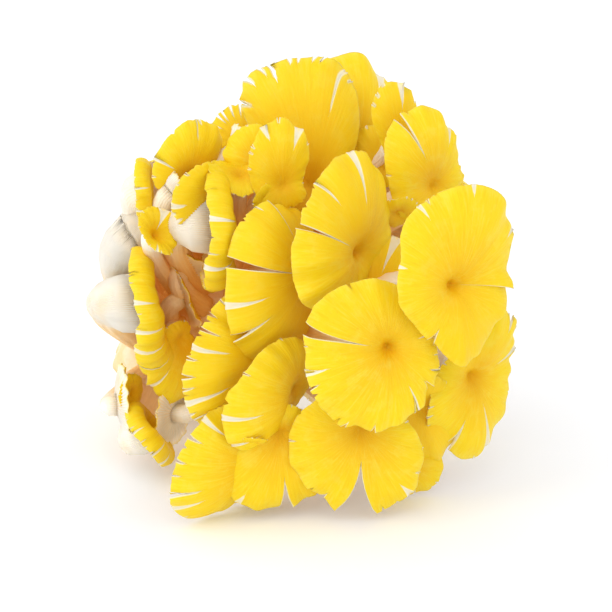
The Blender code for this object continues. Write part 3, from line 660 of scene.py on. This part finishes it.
def growCap(skin, cap, columns):  # the upper skin, the rim, the splits and the gills; returns the neck
    count = len(columns)
    size = float(np.mean(cap["rim"]))
    top, under = rowsOf(capPlan, capPlan["start"], size), rowsOf(gillPlan, cap["neck"], size)
    upper, upperOut, bearing = capSurface(cap, columns, top)
    lower, lowerBearing, valley = underSurface(cap, columns, under, size / capPlan["usualSize"])
    for place, column in enumerate(columns):  # a tear shows as a shallow groove
        if column[2] == 0:
            depth = np.clip((top - 1 + column[3][1]) * capPlan["grooveFade"], 0, 1)[:, None]
            upper[:, place] -= upperOut[:, place] * capPlan["groove"] * depth

    def lay(points, bearings, rows, valleys):
        index = np.zeros((len(rows), count), int)
        for place, column in enumerate(columns):
            for row, share in enumerate(rows):
                if column[2] in (0, 1) and share <= 1 - column[3][1] + 1e-6:
                    index[row, place] = index[row, place - 1]
                    continue
                cut = 1.0 if column[2] is not None and share > 1 - column[3][1] else 0.0
                fibre = fibreOf(cap, bearings[row, place], share)
                deep = valleys[row, place] if valleys is not None else 0.0
                index[row, place] = skin.point(points[row, place], fibre, reach=share, cut=cut, valley=deep)
        return index

    above = lay(upper, bearing, top, None)
    below = lay(lower, lowerBearing, under, valley)
    hub = skin.point(upper[0].mean(axis=0), (cap["seed"] * capPlan["apart"], 0, 0))
    for place in range(count):
        after = (place + 1) % count
        side, split = columns[place][2], columns[place][3]
        isOpen = side == -1 and split[3] == parted
        isTorn = split is not None and split[3] == tear and side in (-1, 0)
        skin.face([hub, above[0, place], above[0, after]], capPart)
        for grid, order, part in ((above, 1, fleshPart if isTorn else capPart), (below, -1, gillPart)):
            for row in range(len(grid) - 1):
                if isOpen and grid[row + 1, place] != grid[row + 1, after]:
                    continue
                corners = (grid[row, place], grid[row + 1, place], grid[row + 1, after], grid[row, after])
                skin.face(corners[::order], part)
        if isOpen:
            closeSplit(skin, (above, below), place, after)
        else:
            rim = [above[-1, place], below[-1, place], below[-1, after], above[-1, after]]
            skin.face(rim, fleshPart if split is not None else capPart)
    return below[0], lower[0]


def closeSplit(skin, grids, place, after):  # the two cut faces of an open split
    for line, flip in ((place, False), (after, True)):
        edges = []
        for grid in grids:
            parting = [row for row in range(len(grid)) if grid[row, place] != grid[row, after]][0]
            edges.append([grid[row, line] for row in range(parting - 1, len(grid))])
        high, low = edges
        i = j = 0
        while i < len(high) - 1 or j < len(low) - 1:
            stepHigh, stepLow = i < len(high) - 1, j < len(low) - 1
            corners = [high[i], high[i + stepHigh], low[j + stepLow], low[j]]
            i, j = i + stepHigh, j + stepLow
            skin.face(corners[::-1] if flip else corners, fleshPart)


butt = dict(
    cut=(-56.0, 62.0, 17.0), crown=(-26.0, 14.0, 60.0), radii=(20.0, 24.0, 25.0, 24.0, 21.0, 15.0),
    columns=132, rows=54, dome=8.0, lump=0.08, inset=0.9, fibre=4,
    ribs=dict(count=11, sway=2.2, swayWaves=2, twist=1.5), ribHeight=1.3,
    fineRibs=dict(count=31, sway=5, swayWaves=3, twist=4), fineHeight=0.22,
    knots=26, knotAlong=(0.1, 0.95), knotHigh=(1.0, 3.0), knotWide=(0.10, 0.22), root=0.24, rootMore=0.26,
    tipRoot=0.3, rings=(0.93, 0.8, 0.62, 0.42, 0.2), dish=1.2, middleDish=1.3, rough=0.35, fineRough=0.25,
)
stemPlan = dict(
    lead=0.42, shortestLead=9.0, longestLead=0.45, neckLead=0.8, share=0.36, neck=0.75, flare=1.25,
    thin=2.2, thicken=0.09, rowLength=3.5, fewestRows=7, merge=0.35, gillShare=0.2, bladeShare=0.6,
    blade=0.04, ridgeMiddle=0.4, fibre=3, end=0.6,
    lumps=((2, 0.07, 2), (3, 0.04, 0), (7, 0.025, 1), (13, 0.02, 0)),  # waves, height and twist
    footDepth=0.55, feet=9, firstFoot=0.2, footStep=0.09, footLead=12.0, farFoot=150.0, footPull=0.3,
)


def buttCentre(share):
    return np.array(butt["cut"]) * (1 - share) + np.array(butt["crown"]) * share


def stemFoot(neck, out):  # where the stem enters the butt, the straightest way
    shape, choices = stemPlan, []
    for step in range(shape["feet"]):
        centre = buttCentre(shape["firstFoot"] + shape["footStep"] * step)
        away = unit(neck - shape["footLead"] * out - centre)
        foot = centre + away * butt["radii"][2] * shape["footDepth"]
        way = foot - neck
        choices.append((unit(way).dot(-out) - np.linalg.norm(way) / shape["farFoot"], step, foot, away))
    return max(choices)[2:]


def turned(spokes, heading, now):  # the spokes swung as the stem's heading turns
    axis = np.cross(heading, now)
    sine, cosine = np.linalg.norm(axis), heading.dot(now)
    if sine <= 1e-8:
        return spokes
    axis = axis / sine
    return spokes * cosine + np.cross(axis, spokes) * sine + np.outer(spokes @ axis, axis) * (1 - cosine)


def growStem(skin, cap, columns, ring, ringPoints):  # carries on from the gills' inner ring to the butt
    shape = stemPlan
    out = axesOf(cap["face"])[2]
    reach = float(np.mean(cap["rim"]))
    radius = min(cap["stem"] or shape["thin"] + shape["thicken"] * reach, shape["share"] * min(cap["rim"]))
    at = np.array(cap["at"], float)
    neck = at + out * (((ringPoints - at) @ out).min() - shape["neck"])
    foot, away = stemFoot(neck, out)
    span = np.linalg.norm(foot - neck)
    lead = min(shape["longestLead"] * span, max(shape["lead"] * reach, shape["shortestLead"]))
    lead += (cap["neck"] - usualCap["neck"]) * reach * shape["neckLead"]
    knots = [neck, neck - out * lead, foot + away * span * shape["footPull"], foot]
    rows = max(shape["fewestRows"], int(span / shape["rowLength"]))
    spokes = ringPoints - neck
    spokes = spokes - (spokes @ out)[:, None] * out
    length = np.linalg.norm(spokes, axis=1, keepdims=True)
    spokes = spokes / length
    heading, before = out.copy(), neck
    chance = random.Random(cap["seed"] + 50)
    phases = [anyPhase(chance) for _ in shape["lumps"]]
    turn = np.array([column[0] for column in columns])
    ridges = np.array([column[1] for column in columns])
    for row in range(rows):
        share = (row + 1) / rows
        rest = 1 - share
        place = (knots[0] * rest ** 3 + knots[1] * 3 * rest ** 2 * share
                 + knots[2] * 3 * rest * share ** 2 + knots[3] * share ** 3)
        now = unit(before - place)
        spokes = turned(spokes, heading, now)
        heading, before = now, place
        lumps = 1
        for (waves, high, twist), phase in zip(shape["lumps"], phases):
            lumps = lumps + high * np.cos(waves * turn + phase + share * twist)
        want = radius * (1 + (shape["flare"] - 1) * share) * lumps
        merge = float(smooth(min(1.0, share / shape["merge"])))
        fade = 1 - float(smooth(share / shape["bladeShare"]))
        blades = shape["blade"] * radius * fade * (ridges - shape["ridgeMiddle"])
        wide = length[:, 0] * (1 - merge) + (want + blades) * merge
        fresh = place + spokes * wide[:, None]
        line = []
        for index, column in enumerate(columns):
            if column[2] in (0, 1):
                line.append(line[-1])
                continue
            fibre = fibreOf(cap, column[0], 1 + share * shape["fibre"])
            line.append(skin.point(fresh[index], fibre, root=share))
        skin.band(ring, line, gillPart if share < shape["gillShare"] else stemPart)
        ring = line
    end = skin.point(before - heading * radius * shape["end"], root=1.0)
    skin.band(ring, [end] * len(ring), stemPart)


def growMushroom(name, cap, seed):
    cap = {**usualCap, "seed": seed, **cap}
    size = float(np.mean(cap["rim"]))
    cap["splits"] = withSlits(cap)
    count = round(size * capPlan["columnsPerMm"] / gillPlan["pitch"]) * gillPlan["pitch"]
    columns = columnsOf(cap, int(np.clip(count, capPlan["fewestColumns"], capPlan["mostColumns"])))
    skin = Skin()
    ring, ringPoints = growCap(skin, cap, columns)
    growStem(skin, cap, columns, ring, ringPoints)
    item = skin.piece(name, skins)
    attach(item, rootBody)
    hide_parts(f"mushroom_{name}")


for number, (name, cap) in enumerate(mushrooms.items()):
    growMushroom(name, cap, number * 7 + 3)
print("mushrooms grown:", len(mushrooms))


def ribbed(ribs, turn, share, phase):
    sway = ribs["sway"] * math.sin(ribs["swayWaves"] * turn + phase)
    return math.sin(ribs["count"] * turn + sway + ribs["twist"] * share)


def buttSide(skin, axis, chance):  # rings of points from the cut to the crown, ribbed along their length
    cut = np.array(butt["cut"])
    right = unit(np.cross(axis, np.array([0.0, 0.0, 1.0])))
    up = np.cross(right, axis)
    rows, last = butt["rows"], len(butt["radii"]) - 1
    phases = [anyPhase(chance) for _ in range(6)]
    knots = [(chance.uniform(0, math.tau), chance.uniform(*butt["knotAlong"]),
              chance.uniform(*butt["knotHigh"]), chance.uniform(*butt["knotWide"]))
             for _ in range(butt["knots"])]
    lines = []
    for row in range(rows + 1):
        share = row / rows
        place = share * last
        radius = np.interp(place, range(last + 1), butt["radii"])
        line = []
        for column in range(butt["columns"]):
            turn = math.tau * column / butt["columns"]
            lump = 1 + butt["lump"] * math.sin(5 * turn + place) * math.cos(2 * turn - 1.3 * place)
            ribs = ribbed(butt["ribs"], turn, share, phases[0])
            fine = ribbed(butt["fineRibs"], turn, share, phases[1])
            bulge = sum(high * math.exp(-(gap(turn, toward) ** 2 * 1.6 + (share - along) ** 2 * 9)
                                        / (2 * wide ** 2))
                        for toward, along, high, wide in knots)
            far = (radius * lump + butt["ribHeight"] * (abs(ribs) ** 0.7 - 0.75) + butt["fineHeight"] * fine
                   + bulge - butt["inset"])
            spoke = math.cos(turn) * right + math.sin(turn) * up
            wave = 0.8 * math.sin(3 * turn + phases[2]) + 0.4 * math.sin(8 * turn + phases[3])
            centre = buttCentre(share) + axis * wave * (1 - share) ** 6
            fibre = (math.cos(turn) * butt["fibre"], math.sin(turn) * butt["fibre"], share * 3)
            root = butt["root"] + butt["rootMore"] * (1 - share)
            line.append(skin.point(centre + spoke * far, fibre, root=root))
        lines.append(line)
    return lines


def buttCut(skin, edge, axis):  # the cut face, slightly dished and rough
    cut, columns, inner = np.array(butt["cut"]), butt["columns"], edge
    for share in butt["rings"]:
        ring = []
        for column in range(columns):
            turn = math.tau * column / columns
            rough = (butt["rough"] * math.sin(9 * turn + 11 * share)
                     + butt["fineRough"] * math.sin(23 * turn - 17 * share))
            point = (cut + (skin.points[edge[column]] - cut) * share
                     + axis * (butt["dish"] * (1 - share) + rough * (1 - share)))
            fibre = (math.cos(turn) * share * 6, math.sin(turn) * share * 6, 9)
            ring.append(skin.point(point, fibre, root=1.0))
        skin.band(inner, ring, stemPart)
        inner = ring
    middle = skin.point(cut + axis * butt["middleDish"], root=1.0)
    skin.band(inner, [middle] * columns, stemPart)


def growButt():  # the fused stems, with a cut end
    chance = random.Random(12)
    skin = Skin()
    axis = unit(np.array(butt["crown"]) - np.array(butt["cut"]))
    lines = buttSide(skin, axis, chance)
    for low, high in zip(lines, lines[1:]):
        skin.band(low, high, stemPart, flip=True)
    buttCut(skin, lines[0], axis)
    tip = skin.point(np.array(butt["crown"]) + axis * butt["dome"], root=butt["tipRoot"])
    skin.band(lines[-1], [tip] * butt["columns"], stemPart, flip=True)
    item = skin.piece("butt", skins)
    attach(item, rootBody)
    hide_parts("stem_base")


growButt()
print("butt grown")

studio = dict(
    floor=(0.955, 0.965, 0.99), floorShade=0.985, lift=0.08, liftTint=(0.6, 0.8, 1.0), floorSize=14.0,
    roughness=0.85, gloss=0.2, paperGrain=90.0, sky=(1.0, 1.0, 1.0), skyLight=0.88, viewTransform="Standard",
    lamps=(  # direction in degrees round from the front and up, softness in degrees, power and colour
        dict(name="key", turn=-20.0, rise=52.0, soft=50.0, power=0.5, colour=(1.0, 0.985, 0.95)),
        dict(name="side", turn=-78.0, rise=20.0, soft=60.0, power=0.75, colour=(1.0, 0.985, 0.96)),
        dict(name="fill", turn=55.0, rise=35.0, soft=60.0, power=0.2, colour=(1.0, 0.99, 0.97)),
    ),
)


def layFloor():
    bpy.ops.mesh.primitive_plane_add(size=studio["floorSize"], location=(0, 0, 0))
    floor = bpy.context.object
    floor.name = "studio_floor"
    paper = Finish("pale_floor", Roughness=studio["roughness"], Specular_IOR_Level=studio["gloss"],
                   Emission_Strength=studio["lift"], Emission_Color=(*studio["liftTint"], 1.0))
    grain = paper.grain(paper.add("ShaderNodeTexCoord", output=3), studio["paperGrain"])
    shade = tuple(value * studio["floorShade"] for value in studio["floor"])
    floor.data.materials.append(paper.wear(Base_Color=paper.blend(grain * 0.5, studio["floor"], shade)))


def lightStudio():
    scene = bpy.context.scene
    world = bpy.data.worlds.new("studio")
    world.use_nodes = True
    back = world.node_tree.nodes["Background"]
    back.inputs["Color"].default_value = (*studio["sky"], 1.0)
    back.inputs["Strength"].default_value = studio["skyLight"]
    scene.world = world
    for lamp in studio["lamps"]:
        data = bpy.data.lights.new(lamp["name"], "SUN")
        data.angle, data.energy, data.color = math.radians(lamp["soft"]), lamp["power"], lamp["colour"]
        item = bpy.data.objects.new(lamp["name"], data)
        scene.collection.objects.link(item)
        item.rotation_euler = (math.radians(90 - lamp["rise"]), 0.0, math.radians(lamp["turn"]))
    scene.view_settings.view_transform = studio["viewTransform"]


layFloor()
lightStudio()
print("studio lit")
